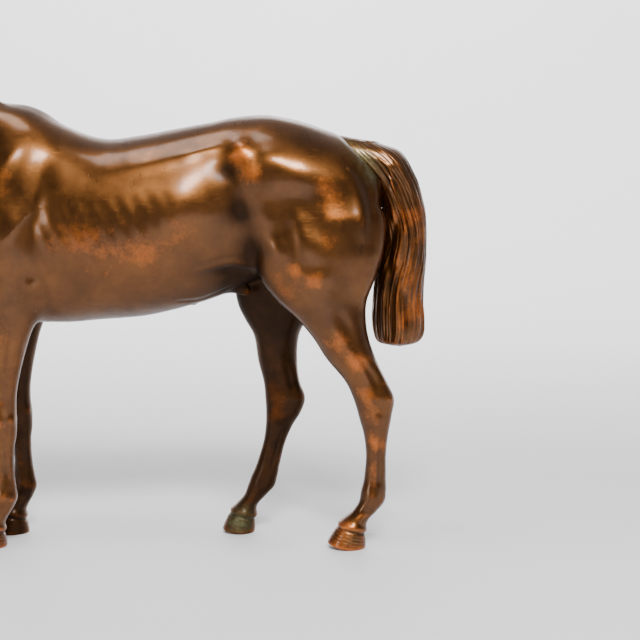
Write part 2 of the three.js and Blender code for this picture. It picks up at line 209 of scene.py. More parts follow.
class Axes:
    """A place's own axes in the middle plane: along, across, and side, which is always y."""

    def __init__(self, origin, along, across):
        self.origin, self.along, self.across = (np.array(v, float) for v in (origin, along, across))

    def local(self, p):
        d = p - self.origin
        return d @ self.along, d @ self.across, p[..., 1]

    def point(self, along, across, side=0.0):
        return self.origin + along * self.along + across * self.across + np.array([0.0, side, 0.0])


ALONG_X = Axes((0, 0, 0), (1, 0, 0), (0, 0, 1))
ALONG_Z = Axes((0, 0, 0), (0, 0, 1), (1, 0, 0))


def leaning_axes(origin, rise):
    """Axes that run forwards and up by an angle, across them the way up."""
    return Axes(origin, (-math.cos(rise), 0, math.sin(rise)), (math.sin(rise), 0, math.cos(rise)))


ON_NECK = leaning_axes(NECK_ROOT, NECK_RISE)
ON_HEAD = leaning_axes(HEAD_ROOT, -HEAD_DROP)


class Loft:
    """A solid through stations: the place along, two edges across, half the thickness, its widest line and
    the offset to the side. The edges run through the stations by Catmull-Rom tangents."""

    FINE = 0.25  # mm between the rows of the filled-in table

    def __init__(self, stations, axes, rounding=0.0):
        rows = np.array([list(row) + [0.0] * (6 - len(row)) for row in stations], float)
        t, columns = rows[:, 0], rows[:, 1:]
        slopes = np.empty_like(columns)
        slopes[1:-1] = (columns[2:] - columns[:-2]) / (t[2:] - t[:-2])[:, None]
        slopes[0] = (columns[1] - columns[0]) / (t[1] - t[0])
        slopes[-1] = (columns[-1] - columns[-2]) / (t[-1] - t[-2])
        self.t = np.arange(t[0], t[-1] + self.FINE, self.FINE)
        i = np.clip(np.searchsorted(t, self.t, side="right") - 1, 0, len(t) - 2)
        span = (t[i + 1] - t[i])[:, None]
        s = ((self.t - t[i]) / span[:, 0])[:, None]
        self.table = (
            columns[i] * (1 + 2 * s) * (1 - s) ** 2 + columns[i + 1] * s ** 2 * (3 - 2 * s)
            + span * (slopes[i] * s * (1 - s) ** 2 - slopes[i + 1] * s ** 2 * (1 - s))
        ).T
        self.ends, self.axes, self.rounding = (t[0], t[-1]), axes, rounding

    def at(self, along):
        """The low and high edge, half thickness, widest line and side offset at places along."""
        return [np.interp(along, self.t, column) for column in self.table]

    def __call__(self, p):
        along, across, side = self.axes.local(p)
        low, high, half, widest, middle = self.at(along)
        u, v = across - widest, side - middle
        reach = np.where(u > 0, high - widest, widest - low)
        ring = np.maximum(np.hypot(u / reach, v / half), 1e-3)
        slope = np.hypot(u / reach ** 2, v / half ** 2) / ring
        skin = (ring - 1) / np.maximum(slope, 1e-3)
        ends = np.maximum(self.ends[0] - along, along - self.ends[1])
        return sharpest(skin, ends, self.rounding)


def blend(a, b, reach):
    """The union of two fields, filleted over a reach in mm."""
    h = np.clip(0.5 + 0.5 * (b - a) / reach, 0, 1)
    return b * (1 - h) + a * h - reach * h * (1 - h)


def sharpest(a, b, rounding):
    """The intersection of two fields, its edge rounded if a rounding in mm is given."""
    return -blend(-a, -b, rounding) if rounding else np.maximum(a, b)


def capsule(start, end, radius, end_radius=None):
    """A round bar with round ends between two points."""
    start, end = np.array(start, float), np.array(end, float)
    grow = (radius if end_radius is None else end_radius) - radius

    def field(p):
        d, line = p - start, end - start
        t = np.clip(d @ line / (line @ line), 0, 1)
        return np.linalg.norm(d - t[..., None] * line, axis=-1) - radius - grow * t
    return field


def ellipsoid(centre, radii):
    """An ellipsoid with its radii along x, y and z."""
    centre, radii = np.array(centre, float), np.array(radii, float)

    def field(p):
        q = (p - centre) / radii
        size = np.maximum(np.linalg.norm(q, axis=-1), 1e-3)
        return (size - 1) * size / np.maximum(np.linalg.norm(q / radii, axis=-1), 1e-3)
    return field


def shifted_back(stations):
    """The left foreleg's outline mirrored to the right and set back at its foot."""
    rows = []
    for z, front, back, half, widest, side in stations:
        step = RIGHT_FORE_STEP * max(0.0, 1 - z / FORE_STEP_ENDS_Z)
        rows.append([z, front + step, back + step, half, widest + step, -side])
    return rows


barrel = Loft(TRUNK, ALONG_X)
neck = Loft(NECK, ON_NECK)
skull = Loft(HEAD, ON_HEAD)
legs = {
    "left_hind": Loft(LEFT_HIND, ALONG_Z),
    "right_hind": Loft(RIGHT_HIND, ALONG_Z),
    "left_fore": Loft(LEFT_FORE, ALONG_Z),
    "right_fore": Loft(shifted_back(LEFT_FORE), ALONG_Z),
}
FORELEGS = ("left_fore", "right_fore")
tail = Loft(TAIL, ALONG_Z, rounding=2.5)


def ball_noise(seed, size, cells=32):
    """Smooth noise from -1 to 1 whose bumps are about size mm wide, the same on each run."""
    lattice = np.random.default_rng(seed).uniform(-1, 1, (cells,) * 3)

    def noise(p):
        q = p / size
        low = np.floor(q)
        f = q - low
        f = f * f * (3 - 2 * f)
        i = low.astype(int) % cells
        j = (i + 1) % cells
        total = 0.0
        for a in (0, 1):
            for b in (0, 1):
                for c in (0, 1):
                    corner = lattice[
                        (j if a else i)[..., 0], (j if b else i)[..., 1], (j if c else i)[..., 2]]
                    weight = ((f if a else 1 - f)[..., 0] * (f if b else 1 - f)[..., 1]
                              * (f if c else 1 - f)[..., 2])
                    total = total + corner * weight
        return total
    return noise


# ---- the body: everything but the tail ----

SINK_START_Z = 142.0  # where a limb starts to sink into the trunk
SINK_LENGTHS = {"hind": 26.0, "fore": 30.0}
SUNK = 9.0  # how deep its top lies, mm
NECK_FILLET, SKULL_FILLET = 14.0, 6.0  # mm
LIMB_FILLETS = {"hind": 5.0, "fore": 7.0}
RUMP_EDGE = 2.2  # rounding where the rump ends at the tail


def limb(name):
    """A leg with its upper end sunk softly into the trunk."""
    length = SINK_LENGTHS[name.split("_")[1]]

    def field(p):
        t = np.clip((p[..., 2] - SINK_START_Z) / length, 0, 1)
        return legs[name](p) + SUNK * t * t * (3 - 2 * t)
    return field


def with_limbs(field, p, names):
    """A field joined to some of the limbs."""
    for name in names:
        field = blend(field, limbs[name](p), LIMB_FILLETS[name.split("_")[1]])
    return field


limbs = {name: limb(name) for name in legs}
breast = ellipsoid((-55, 0, 139.5), (14.5, 16.5, 21.5))
sheath = capsule((57, 0, 115), (67.4, 0, 111.4), 3.4, 2.4)
RUMP_END = np.array([118.6, 0.0, 168.2])  # on the slanting plane where the rump ends at the tail
RUMP_END_FACING = np.array([0.743, 0.0, 0.669])


def body(p):
    """The barrel with its front end rounded."""
    return blend(barrel(p), breast(p), 2.4)


def trunk_field(p):
    field = blend(with_limbs(body(p), p, legs), neck(p), NECK_FILLET)
    field = blend(field, sheath(p), 2.4)
    return sharpest(field, (p - RUMP_END) @ RUMP_END_FACING, RUMP_EDGE)


def leg_field(name):
    return lambda p: with_limbs(barrel(p), p, [name])


EAR_AXES = Axes((-109.6, 0, 236.7), (-0.159, 0, 0.987), (-0.987, 0, -0.159))


def ear_field(side):
    """A leaf-shaped ear on one side of the head, hollow in front."""
    outline = [
        [-4, -1.6, 1.7, 2.0, 0, 3.6 * side],
        [0, -2.0, 2.1, 2.9, 0, 4.3 * side],
        [4.5, -2.3, 2.2, 3.9, 0, 5.0 * side],
        [9, -1.9, 1.8, 3.3, 0, 5.6 * side],
        [12.6, -1.0, 1.0, 1.5, 0, 5.9 * side],
        [14.6, -0.3, 0.3, 0.4, 0, 6.2 * side],
    ]
    leaf = Loft(outline, EAR_AXES, rounding=0.6)
    hollow = capsule(EAR_AXES.point(3.0, 2.6, 5.2 * side), EAR_AXES.point(11.5, 1.7, 6.4 * side), 2.1, 0.9)
    return lambda p: sharpest(leaf(p), -hollow(p), 0.5)


ears = [ear_field(LEFT), ear_field(RIGHT)]


def neck_field(p):
    field = with_limbs(blend(body(p), neck(p), NECK_FILLET), p, FORELEGS)
    return blend(field, skull(p), SKULL_FILLET)


def head_field(p):
    field = blend(neck(p), skull(p), SKULL_FILLET)
    for ear in ears:
        field = blend(field, ear(p), 1.6)
    return field


# ---- sculpting: mounds and grooves laid on the skin ----

VIEWS = {  # which two coordinates a view's points give, the third, where its rays start and which way they go
    "left": (0, 2, 1, -60.0, 1.0),
    "right": (0, 2, 1, 60.0, -1.0),
    "inside left": (0, 2, 1, 0.0, -1.0),
    "inside right": (0, 2, 1, 0.0, 1.0),
    "top": (0, 1, 2, 260.0, -1.0),
    "below": (0, 1, 2, 0.0, 1.0),
    "front": (1, 2, 0, -170.0, 1.0),
    "rear": (1, 2, 0, 170.0, -1.0),
}
DAB_SPACING = 0.6  # of a line's width
DAB_REACH = 2.5  # in widths, beyond which a dab is nothing
MARCH_STEPS = 60


def curve_through(points, spacing):
    """Points along a smooth curve through the given ones."""
    points = np.array(points, float)
    if len(points) == 1:
        return points
    padded = np.vstack([2 * points[0] - points[1], points, 2 * points[-1] - points[-2]])
    out = []
    for a, b, c, d in zip(padded[:-3], padded[1:-2], padded[2:-1], padded[3:]):
        count = max(1, int(np.ceil(np.linalg.norm(c - b) / spacing)))
        t = np.arange(count)[:, None] / count
        out.append(0.5 * (2 * b + (c - a) * t + (2 * a - 5 * b + 4 * c - d) * t ** 2
                          + (3 * b - a - 3 * c + d) * t ** 3))
    return np.vstack(out + [points[-1:]])


def laid_on(field, starts, directions):
    """Where rays from the starts first meet a field's skin, or pass nearest to it."""
    p = starts.copy()
    best, nearest = np.full(len(p), np.inf), p.copy()
    for _ in range(MARCH_STEPS):
        value = field(p)
        closer = np.abs(value) < best
        best[closer], nearest[closer] = np.abs(value)[closer], p[closer]
        p = p + 0.85 * np.clip(value, -1.0, 60.0)[:, None] * directions
    return nearest


def drawn(view, points, width, height, runout=0.3):
    """A line drawn on a view of the horse: its rays, their directions, width, height in mm and runout."""
    first, second, depth, start, sign = VIEWS[view]
    line = curve_through(points, DAB_SPACING * width)
    starts = np.full((len(line), 3), start)
    starts[:, first], starts[:, second] = line.T
    directions = np.zeros((len(line), 3))
    directions[:, depth] = sign
    return starts, directions, width, height, runout


def on_both_sides(lines):
    """Lines given as width, height and points on the left, drawn on both sides."""
    sides = ("left", "right")
    return [drawn(side, points, width, height) for width, height, points in lines for side in sides]


def dab_weights(places, width, runout):
    """The weights with which a line's dabs add up to a smooth ridge of height 1 that runs out at its ends."""
    steps = np.linalg.norm(np.diff(places, axis=0), axis=1)
    arc = np.concatenate([[0], np.cumsum(steps)])
    own = (np.concatenate([[0], steps]) + np.concatenate([steps, [0]])) / 2 if len(steps) else np.ones(1)
    edge = np.clip(np.minimum(arc, arc[-1] - arc) / max(runout * arc[-1], 1e-6), 0, 1)
    weights = own * (0.35 + 0.65 * edge)
    apart = np.linalg.norm(places[:, None] - places, axis=2)
    return weights / (np.exp(-(apart / width) ** 2) @ weights).max()


class Relief:
    """How far mounds and grooves raise the skin, in mm. Each is a row of soft dabs that melt together."""

    def __init__(self, field, lines):
        starts, directions, widths, heights, runouts = zip(*lines)
        self.places = laid_on(field, np.vstack(starts), np.vstack(directions))
        counts = [len(row) for row in starts]
        rows = np.split(self.places, np.cumsum(counts)[:-1])
        self.widths = np.repeat(widths, counts)
        self.weights = np.concatenate([
            height * dab_weights(*line) for height, line in zip(heights, zip(rows, widths, runouts))])

    def __call__(self, p):
        reach = DAB_REACH * self.widths[:, None]
        near = ((self.places > p.min(axis=0) - reach) & (self.places < p.max(axis=0) + reach)).all(axis=1)
        centres, tight, weights = self.places[near], 1 / self.widths[near] ** 2, self.weights[near]
        away = p @ (2 * centres * tight[:, None]).T
        away -= (p ** 2).sum(axis=1)[:, None] * tight
        away -= (centres ** 2).sum(axis=1) * tight
        return np.exp(away, out=away) @ weights


# Points are (x, z) in mm as seen from the left. Each line is width, height and points.
HINDQUARTER = [
    # the point of the hip and the edge running down from it
    (4.6, 1.8, [(66.5, 172.5)]),
    (4.4, 0.7, [(68, 170), (71, 164), (73, 157)]),
    # gluteal shelf, and the shallow hollow under it
    (9.0, 1.5, [(74, 165.5), (83, 165), (92, 161.5), (102, 157)]),
    (4.6, 0.6, [(75, 169), (81, 168.6)]),
    (6.5, 0.7, [(104, 160), (112, 158)]),
    (7.0, -0.3, [(78, 155), (86, 152), (93, 149)]),
    # the deep groove between flank and thigh
    (4.6, -1.9, [(63, 161), (66, 150), (69, 137), (73, 121)]),
    (5.0, 0.6, [(73, 156), (75, 146), (78, 136)]),
    # thigh muscles and the grooves between them
    (5.0, 0.7, [(80, 134), (84, 127)]),
    (5.0, 0.8, [(91, 140), (95, 133), (99, 128)]),
    (3.6, -0.7, [(83, 148), (87, 138), (88, 127), (88, 115)]),
    (4.4, -0.8, [(95, 150), (98, 142), (101, 134)]),
    (9.0, 0.3, [(109, 143), (108, 136), (105, 128)]),
    (3.2, 0.7, [(112, 163), (116, 154), (118, 144), (119, 134)]),
    (3.0, -0.7, [(111, 168), (119, 159), (122, 146), (122, 130)]),
    (3.4, 1.2, [(124, 156), (125, 152)]),
    (3.6, 0.4, [(91, 121), (98, 118), (106, 120)]),
    (4.4, -0.5, [(76, 127), (83, 119), (92, 110)]),
]

BARREL = [
    # the loin's edge, sharper towards the hip, and the dark pocket under its end
    (3.4, 0.35, [(8, 163), (26, 166), (42, 170), (57, 175)]),
    (2.6, 0.5, [(40, 169), (48, 171.5), (58, 174)]),
    (5.0, -0.35, [(16, 160), (32, 162), (46, 164)]),
    (4.8, -1.0, [(58, 166), (62, 161)]),
    # the bulge of the last ribs
    (11.0, 1.5, [(39, 147), (47, 147)]),
    (6.0, -0.3, [(54, 154), (56, 149)]),
    # the lower edge of the ribs and the belly's muscle line
    (5.0, -0.35, [(14, 124), (32, 128), (46, 133), (56, 139)]),
    # the fold of skin from the flank to the stifle, with the hollow under it
    (1.8, 1.1, [(46, 121), (56, 124), (64, 125), (71, 122)]),
    (3.2, -1.2, [(54, 118.5), (62, 120), (70, 117)]),
    (1.3, -0.5, [(38, 107.5), (48, 108), (58, 112), (65, 116)]),
]

RIB_LEAN = 0.48  # dx per -dz: the ribs slope back as they go down
RIB_SPACING, RIB_WIDTH, RIB_HEIGHT = 7.1, 2.0, 0.1
RIB_MIDDLE_Z = 141.0
LAST_RIB_X = 44.1  # at that height


def rib_lines():
    """The ribs' ridges and the grooves between them, faintest at the last one."""
    lines = []
    for k in range(10):
        x = LAST_RIB_X - RIB_SPACING * k
        height = RIB_HEIGHT * min(1.0, 0.5 + 0.15 * k)
        ridge = [(x + RIB_LEAN * (RIB_MIDDLE_Z - z), z) for z in (156 - k, RIB_MIDDLE_Z, 124 - 0.5 * k)]
        groove = [(px - RIB_SPACING / 2, z) for px, z in ridge]
        lines += [(RIB_WIDTH, height, ridge), (RIB_WIDTH, -height, groove)]
    return lines


FOREQUARTER = [
    # shoulder blade: its front edge, its spine and the groove behind the shoulder
    (7.0, 1.2, [(-30, 176), (-40, 160), (-50, 144)]),
    (3.2, -0.8, [(-38, 178), (-49, 162), (-60, 148)]),
    (2.6, 0.5, [(-28, 174), (-36, 160), (-44, 148)]),
    (7.0, 0.6, [(-56, 140), (-50, 133)]),
    (5.0, -1.3, [(-16, 170), (-19, 156), (-22, 142), (-22, 126)]),
    # triceps, its lower border and the elbow
    (7.5, 1.5, [(-31, 146), (-33, 134), (-31, 124)]),
    (3.2, -0.9, [(-52, 130), (-44, 123), (-36, 117)]),
    (3.2, 1.3, [(-22, 117), (-24, 112)]),
    (5.4, 0.9, [(-54, 124), (-50, 113), (-45, 104)]),
]

# Points are (z, part of the way from front to back) on a leg.
HIND_LEG = [
    # gaskin: shin muscle, the groove behind it, the Achilles tendon
    (4.4, 0.8, [(100, 0.42), (90, 0.42), (80, 0.45)]),
    (2.8, -0.5, [(104, 0.68), (92, 0.7), (83, 0.71)]),
    (1.9, -0.6, [(84, 0.72), (76, 0.73), (69, 0.72)]),
    (1.4, 0.4, [(84, 0.92), (75, 0.93), (68, 0.9)]),
    # hock: its point, the bones in front and below
    (2.2, 0.5, [(66, 0.88)]),
    (3.0, 0.5, [(68, 0.36), (62, 0.38)]),
    (2.0, -0.35, [(64, 0.62), (59, 0.66)]),
    (2.4, 0.35, [(56, 0.5)]),
    # cannon bone and the tendons behind it
    (2.0, 0.25, [(50, 0.36), (38, 0.38), (27, 0.4)]),
    (1.0, -0.45, [(50, 0.66), (40, 0.66), (28, 0.66)]),
    (1.4, 0.2, [(48, 0.86), (30, 0.86)]),
    # fetlock and pastern
    (2.4, 0.45, [(22.5, 0.5)]),
    (1.8, 0.3, [(20.5, 0.84)]),
    (1.5, -0.3, [(17, 0.66)]),
]

FORE_LEG = [
    (4.0, 0.8, [(96, 0.34), (84, 0.38), (72, 0.42)]),
    (1.8, -0.5, [(94, 0.62), (84, 0.62), (72, 0.6)]),
    (3.0, 0.4, [(94, 0.82), (84, 0.8)]),
    (2.8, 0.5, [(58, 0.38), (53, 0.38)]),
    (1.6, -0.35, [(60, 0.68), (52, 0.7)]),
    (1.8, 0.5, [(56, 0.9)]),
    (2.0, 0.25, [(46, 0.36), (34, 0.38), (27, 0.4)]),
    (1.0, -0.45, [(46, 0.64), (36, 0.64), (28, 0.64)]),
    (1.4, 0.2, [(44, 0.86), (30, 0.86)]),
    (2.4, 0.45, [(22.5, 0.5)]),
    (1.8, 0.3, [(21, 0.84)]),
    (1.5, -0.3, [(17, 0.66)]),
]
LEFT_HOCK_Z, RIGHT_HOCK_Z = 65.8, 61.4
INNER_TOP_Z = 88.0  # above it the insides of the legs meet the trunk


def leg_lines(name, lines):
    """A leg's lines on its outer and inner sides, their heights scaled to where that leg's hock stands."""
    side = name.split("_")[0]
    scale = RIGHT_HOCK_Z / LEFT_HOCK_Z if name == "right_hind" else 1.0
    out = []
    for width, height, points in lines:
        places = []
        for z, part in points:
            low, high, *_ = legs[name].at(z * scale)
            places.append((low + part * (high - low), z * scale))
        out.append(drawn(side, places, width, height))
        inner = [place for place in places if place[1] < INNER_TOP_Z]
        if inner:
            out.append(drawn("inside " + side, inner, width, 0.8 * height))
    return out


MIDDLE_LINES = [  # spine, croup, withers, chest, the rear and the belly's seam
    ("top", 2.6, -0.5, [(-10, 0), (20, 0), (50, 0), (62, 0)]),
    ("top", 3.0, 0.4, [(66, 0), (84, 0), (100, 0)]),
    ("top", 3.0, 0.8, [(-34, 0), (-24, 0), (-14, 0)]),
    ("front", 2.4, -0.9, [(0, 152), (0, 138), (0, 120)]),
    ("rear", 2.6, -1.6, [(0, 156), (0, 140), (0, 124)]),
    ("below", 2.0, 0.4, [(-16, 0), (10, 0), (40, 0)]),
    ("below", 1.2, 0.7, [(44.8, 0)]),
]
for side in (LEFT, RIGHT):
    MIDDLE_LINES += [
        ("top", 5.0, 0.5, [(70, 7 * side), (88, 8 * side), (104, 8 * side)]),
        ("front", 5.0, 0.7, [(6.5 * side, 150), (8 * side, 138), (8 * side, 128)]),
        ("rear", 5.0, 0.9, [(10 * side, 148), (11 * side, 136), (12 * side, 124)]),
    ]
body_relief = Relief(
    trunk_field,
    on_both_sides(HINDQUARTER + BARREL + rib_lines() + FOREQUARTER)
    + [drawn(view, points, width, height) for view, width, height, points in MIDDLE_LINES],
)
leg_relief = {}
for name in legs:
    lines = leg_lines(name, FORE_LEG if name in FORELEGS else HIND_LEG)
    leg_relief[name] = Relief(leg_field(name), lines)

# Points are places on the neck: along it, and across it from its middle line.
NECK_LINES = [
    # the windpipe and the groove above it, the muscles behind and the crest
    (2.4, -1.0, [(78, -6), (56, -8), (34, -11), (14, -16)]),
    (4.0, 0.8, [(74, -2), (52, -3), (30, -5), (8, -9)]),
    (3.0, 0.4, [(70, -9), (48, -12), (26, -16)]),
    (3.6, -0.6, [(66, 5), (46, 6), (26, 7), (8, 6)]),
    (4.0, 0.5, [(70, 11), (50, 12), (30, 13)]),
    (1.4, -0.5, [(82, 10), (62, 13.4), (42, 15.4), (24, 17)]),
    (3.2, -0.8, [(84, -6), (78, 0), (76, 6)]),
]


def seen_aside(axes, line):
    """Places along and across an axis, as (x, z) points."""
    return [tuple(axes.point(*place)[[0, 2]]) for place in line]


MANE_START, MANE_SPACING, MANE_LOCKS = 89.0, 2.15, 34  # down along the neck


def mane_lines():
    """Short pulled locks that fall on the right side of the neck, and the crest they grow from."""
    lines = []
    for k in range(MANE_LOCKS):
        along = MANE_START - MANE_SPACING * k
        crest = neck.at(along)[1]
        sway = 1.6 * math.sin(2.4 * k) + 0.8 * math.sin(5.1 * k)
        length = 11.5 + 1.6 * math.sin(1.7 * k)
        middle = (along - 1.6 + sway * 0.4, crest - length * 0.5)
        tip = (along - 4.2 + sway, crest - length)
        places = seen_aside(ON_NECK, [(along, crest - 0.6), middle, tip])
        lines.append(drawn("right", places, 1.25, 0.85))
        lines.append(drawn("right", [(x + 1.0, z - 0.75) for x, z in places], 0.5, -0.45))
    crest = seen_aside(ON_NECK, [(along, neck.at(along)[1]) for along in range(14, 92, 6)])
    lines.append(drawn("left", crest, 1.5, 0.6, runout=0.1))
    return lines


neck_relief = Relief(
    neck_field,
    on_both_sides([(w, h, seen_aside(ON_NECK, line)) for w, h, line in NECK_LINES]) + mane_lines(),
)

# Points are places on the head: along it from the poll, and across it, forehead and nose above 0.
HEAD_LINES = [
    # eye: its socket, ball, lids and the bone above it
    (3.6, -0.6, [(21, 0.5)]),
    (1.6, 1.0, [(21.4, 0.6)]),
    (0.6, 0.3, [(18.4, 0.2), (20, 2.2), (22.6, 2.6), (24.4, 0.9)]),
    (0.5, -0.2, [(17.6, 0.6), (19.4, 3.0), (22.8, 3.4), (25, 1.2)]),
    (0.6, 0.2, [(18.8, -0.6), (21, -1.5), (23.6, -0.6)]),
    (2.0, 0.7, [(15.5, 3.6), (18.5, 4.8), (22, 5.0)]),
    (2.4, -0.7, [(11, 3.5), (14, 4.2)]),
    # the crest of the face, the cheek and the jaw
    (1.4, 0.8, [(27, -2.6), (34, -3.6), (43, -5)]),
    (7.0, 1.0, [(17, -15)]),
    (1.6, -0.6, [(7, -14), (10, -22), (18, -26.5), (27, -23), (30, -15), (28, -8)]),
    (2.0, -0.5, [(30, -9), (40, -9.5), (50, -8.6)]),
    (2.4, 0.4, [(38, 1), (50, 0.4), (60, 0)]),
    # nostril, mouth and chin
    (1.3, -1.3, [(66.6, -0.8), (68.6, -1.4), (69.8, -3.0)]),
    (0.8, 0.6, [(65.4, 0.4), (68.6, 0.6), (71.2, -1.4), (71.2, -3.6)]),
    (0.7, 0.4, [(65.4, -1.6), (67.6, -3.6), (69.6, -4.6)]),
    (0.55, -0.7, [(74.6, -5.4), (70, -6.6), (65, -7.8), (61.5, -8.2)]),
    (1.2, 0.4, [(72.6, -4.2), (68, -5.4), (64, -6.6)]),
    (1.8, 0.6, [(69, -9.6), (67, -10.6)]),
]
FORELOCK_LINES = [
    (1.0, 0.7, [(-3, 0.4), (3, 1.0), (9, 0.6), (14, -0.4)]),
    (1.0, 0.7, [(-3, -1.2), (3, -1.0), (8, -1.6), (12, -1.2)]),
    (0.9, 0.6, [(-3, 1.9), (2, 2.6), (8, 2.4), (12, 1.4)]),
    (0.45, -0.4, [(-3, -0.4), (3, 0.0), (9, -0.5), (13, -0.8)]),
    (0.45, -0.4, [(-3, 1.2), (3, 1.8), (9, 1.5)]),
]


def forelock_lines():
    """The lock between the ears, by places along the head and aside of its middle, laid on from in front."""
    lines = []
    for width, height, points in FORELOCK_LINES:
        line = curve_through(points, DAB_SPACING * width)
        starts = np.array([ON_HEAD.point(along, 25, side) for along, side in line])
        lines.append((starts, np.tile(-ON_HEAD.across, (len(line), 1)), width, height, 0.3))
    return lines


head_relief = Relief(
    head_field,
    on_both_sides([(w, h, seen_aside(ON_HEAD, line)) for w, h, line in HEAD_LINES]) + forelock_lines(),
)

UNEVENNESS = 0.12  # mm
waviness = ball_noise(7, 9.0)


# ---- hooves ----

SOLE_EDGE = 0.8  # rounding of the sole's rim
LEVEL_PART = 0.62  # where the ground surface starts to rise, from the coronet's toe towards its heel
TOE_PAST_CORONET = 3.0
HOOVES = {  # coronet at the toe and at the heel, as (x, z), and how far the toe lifts off the ground
    "left_hind": ((105.4, 10.4), (119.4, 6.6), 2.6),
    "right_hind": ((57.6, 9.6), (70.6, 6.4), 1.6),
    "left_fore": ((-52.4, 10.0), (-38.0, 6.6), 1.0),
    "right_fore": ((-47.6, 10.0), (-33.4, 6.6), 1.0),
}


def hoof_relief(name, p):
    """The coronet's bulge, the groove under it and the faint rings of the wall."""
    (toe_x, toe_z), (heel_x, heel_z), _ = HOOVES[name]
    slope = (heel_z - toe_z) / (heel_x - toe_x)
    above = p[:, 2] - toe_z - slope * (p[:, 0] - toe_x)
    rings = 0.05 * np.sin(above * 4.2) * np.exp(-((above + 4) / 3) ** 2)
    return 0.75 * np.exp(-((above - 1.9) / 1.6) ** 2) - 0.5 * np.exp(-((above + 0.2) / 0.7) ** 2) + rings


def sole(name, p):
    """The ground surface of a hoof: flat at the quarters and heels, rising towards the toe."""
    (toe_x, _), (heel_x, _), lift = HOOVES[name]
    quarter = LEVEL_PART * (heel_x - toe_x)
    toward_toe = np.clip((toe_x + quarter - p[:, 0]) / (quarter + TOE_PAST_CORONET), 0, 1)
    return lift * toward_toe ** 1.6 - p[:, 2]


# ---- hair ----

def hair_noise(seed, cells=(64, 24)):
    """Streaky noise from -1 to 1 of a place across the strands, which wraps round, and a place along them."""
    lattice = np.random.default_rng(seed).uniform(-1, 1, cells)

    def noise(across, along):
        a0, b0 = np.floor(across), np.floor(along)
        fa, fb = across - a0, along - b0
        fa, fb = fa * fa * (3 - 2 * fa), fb * fb * (3 - 2 * fb)
        a, b = a0.astype(int) % cells[0], b0.astype(int) % cells[1]
        a1, b1 = (a + 1) % cells[0], (b + 1) % cells[1]
        return ((lattice[a, b] * (1 - fa) + lattice[a1, b] * fa) * (1 - fb)
                + (lattice[a, b1] * (1 - fa) + lattice[a1, b1] * fa) * fb)
    return noise


locks, strands, hairs = hair_noise(3, (16, 24)), hair_noise(5, (48, 24)), hair_noise(11, (96, 24))
dock = capsule((108, 0, 172.0), (129.5, 0, 165.6), 6.9, 8.4)


def tail_field(p):
    return blend(tail(p), dock(p), 4.0)


def tail_hair(p):
    """Locks and strands that run down the tail, swinging a little forwards and back."""
    low, high, half, widest, _ = tail.at(p[:, 2])
    u = p[:, 0] - widest
    reach = np.where(u > 0, high - widest, widest - low)
    turn = np.arctan2(p[:, 1] / half, u / reach) / (2 * np.pi)
    z = p[:, 2]
    swing = 0.03 * np.sin(z / 17.0 + 0.8) + 0.015 * np.sin(z / 7.5 + 2.0)
    across = turn + swing * np.sign(p[:, 1] + 1e-9) + np.where(p[:, 1] > 0, 0.13, 0.0)
    fade = np.clip((176 - z) / 12, 0.25, 1)
    fine = np.abs(strands(across * 48, z / 34 + 3))
    return fade * (0.5 * locks(across * 16, z / 60 + 1) - 0.55 * fine + 0.22 * hairs(across * 96, z / 16))


TAIL_LINES = [  # the deep clefts and proud locks on its near side
    (1.7, -1.7, [(134, 146), (132, 137), (130, 128), (130, 118), (129, 106)]),
    (1.3, 0.9, [(137, 140), (135, 131), (133, 123)]),
    (1.5, 0.8, [(134, 110), (134.5, 100), (135, 90)]),
    (1.5, -1.0, [(137, 112), (138, 100), (138, 90)]),
    (1.5, 0.7, [(143, 110), (143, 100), (143, 93)]),
    (1.6, -0.9, [(122, 168), (127, 163), (130, 156)]),
    (1.0, 0.7, [(123, 170), (130, 165), (131, 158), (133, 152)]),
    (1.1, 0.6, [(130, 168), (136, 161), (139, 154)]),
]
tail_relief = Relief(tail_field, on_both_sides(TAIL_LINES))


# ---- the castings' full fields ----

def body_detail(p, leg_names):
    """What is modelled on the trunk and on some legs: the lines, and the unevenness of the clay."""
    return body_relief(p) + sum(leg_relief[name](p) for name in leg_names) + UNEVENNESS * waviness(p)


def trunk_skin(p):
    return trunk_field(p) - body_detail(p, legs) - neck_relief(p)


def leg_skin(name):
    base = leg_field(name)

    def skin(p):
        field = base(p) - body_detail(p, [name]) - hoof_relief(name, p)
        return sharpest(field, sole(name, p), SOLE_EDGE)
    return skin


def neck_skin(p):
    return neck_field(p) - body_detail(p, FORELEGS) - neck_relief(p) - head_relief(p)


def head_skin(p):
    return head_field(p) - UNEVENNESS * waviness(p) - neck_relief(p) - head_relief(p)


def tail_skin(p):
    return tail_field(p) - tail_relief(p) - tail_hair(p)


# ---- meshing ----

CHUNK = 4000  # points worked out at a time
PINCH_ROUNDS = 8
PROUD_REACHES = (1.2, 3.2)  # mm over which fine and broad forms stand proud
FLAT_FACE_CORNERS = 6  # only a cut's face has more


def everywhere(field, p):
    """A field at many points, worked out in chunks on all the cores."""
    chunks = [p[i:i + CHUNK] for i in range(0, len(p), CHUNK)]
    with ThreadPoolExecutor() as pool:
        return np.concatenate(list(pool.map(field, chunks)))


def gradient(field, p, reach=0.08):
    """A field's slope at points, and its value there, from four samples round each."""
    corners = np.array([[1, -1, -1], [-1, -1, 1], [-1, 1, -1], [1, 1, 1]], float)
    values = [everywhere(field, p + reach * corner) for corner in corners]
    slope = sum(value[:, None] * corner for value, corner in zip(values, corners)) / (4 * reach)
    return slope, sum(values) / 4


def cube(count):
    """The whole-number points of a cube from 0 up to count in each direction."""
    return np.stack(np.meshgrid(*[np.arange(count)] * 3, indexing="ij"), axis=-1).reshape(-1, 3)


